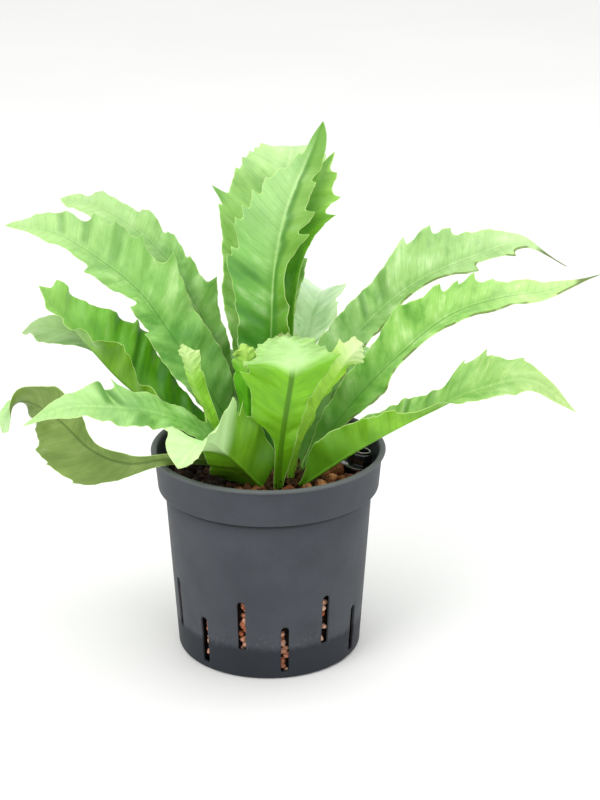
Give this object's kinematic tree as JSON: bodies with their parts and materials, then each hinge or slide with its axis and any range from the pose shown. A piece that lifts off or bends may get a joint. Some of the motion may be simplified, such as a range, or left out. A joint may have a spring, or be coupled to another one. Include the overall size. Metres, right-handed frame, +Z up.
{
  "type": "potted bird's nest fern",
  "caption": "Bird's nest fern with cut, waved fronds in a slotted hydroculture grow pot with clay pebbles and a gauge sleeve.",
  "frame": {"origin": "middle of the pot's flat base", "axes": "+Z up along the pot's axis, -Y towards the front of the plant as pictured, +X to its right"},
  "size_m": [0.3301, 0.2012, 0.2901],
  "materials": {
    "pot_plastic": "matt",
    "clay_pebbles": "rough fired clay",
    "sleeve_plastic": "smooth",
    "rhizome_scales": "dry brown scales",
    "leaf": "satin leaf",
    "leaf_young": "satin young leaf",
    "leaf_pale": "satin pale leaf"
  },
  "bodies": {
    "root": {"pot": "pot_plastic", "pebble_bed": "clay_pebbles", "gauge_sleeve": "sleeve_plastic", "rhizome": "rhizome_scales", "frond_upright_centre": "leaf", "frond_upright_behind": "leaf", "frond_upright_right": "leaf", "frond_upper_left_long": "leaf", "frond_upper_left_behind": "leaf", "frond_left_forked": "leaf", "frond_left_low_pale": "leaf_pale", "frond_left_light": "leaf", "frond_left_drooping": "leaf", "frond_front_left": "leaf", "frond_front_centre": "leaf_young", "frond_young_left": "leaf_young", "frond_young_centre": "leaf_young", "frond_young_right": "leaf_young", "frond_right_upper": "leaf", "frond_right_long": "leaf", "frond_right_front": "leaf", "frond_back_pale": "leaf_pale", "frond_back_low": "leaf", "frond_back_right_low": "leaf", "frond_back_left_low": "leaf"}
  },
  "joints": []
}
